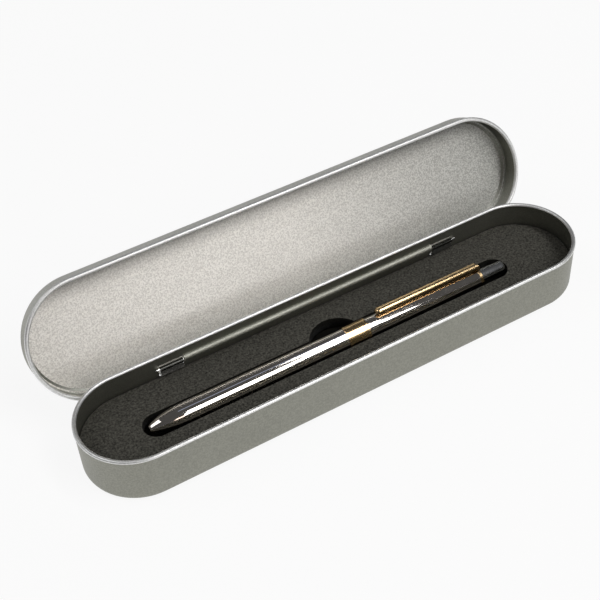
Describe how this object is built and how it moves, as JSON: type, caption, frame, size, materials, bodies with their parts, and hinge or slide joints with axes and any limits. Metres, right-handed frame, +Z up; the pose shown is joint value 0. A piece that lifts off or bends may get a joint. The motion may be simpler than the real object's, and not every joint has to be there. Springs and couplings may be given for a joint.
{
  "type": "pencil case",
  "caption": "Rounded metal pencil case with an open hinged lid, and a foam insert that holds a push-button pen with a gold ring and clip.",
  "frame": {"origin": "centre of the base's flat underside", "axes": "+X along the case, +Y towards the hinge, +Z up"},
  "size_m": [0.1934, 0.0662, 0.0459],
  "materials": {
    "tin": "satin drawn tinplate, fine matte speckle",
    "hinge_wire": "bright drawn wire",
    "foam": "dark grey closed-cell foam",
    "barrel_chrome": "polished chrome plate",
    "button_chrome": "polished chrome plate",
    "gold": "polished gold plate",
    "inner_brass": "plain brass",
    "inner_plastic": "black moulded plastic",
    "refill_plastic": "clear-white extruded tube",
    "spring_steel": "spring wire"
  },
  "bodies": {
    "base": {"base_pan": "tin", "hinge_pin": "hinge_wire", "foam_pad": "foam", "foam_insert": "foam"},
    "lid": {"lid_pan": "tin"},
    "pen": {"lower_barrel": "barrel_chrome", "centre_ring": "gold", "coupling": "inner_brass", "upper_barrel": "barrel_chrome", "clip": "gold", "cam_sleeve": "inner_plastic", "return_spring": "spring_steel"},
    "click": {"push_button": "button_chrome", "stem": "inner_plastic", "rotor": "inner_plastic", "refill_tube": "refill_plastic", "refill_point": "inner_brass"}
  },
  "joints": [
    {"name": "lid_hinge", "type": "hinge", "parent": "base", "child": "lid", "pos_m": [0, 0.01815, 0.0135], "axis": [1, 0, 0], "range_deg": [0, 118.5]},
    {"name": "pen_lift", "type": "slide", "parent": "base", "child": "pen", "axis": [0, 0, 1], "range_m": [0, 0.06]},
    {"name": "button_press", "type": "slide", "parent": "pen", "child": "click", "axis": [-1, 0, 0], "range_m": [0, 0.0042], "stiffness_N_per_m": 350, "springref_m": -0.002, "deforming": ["return_spring"]}
  ]
}
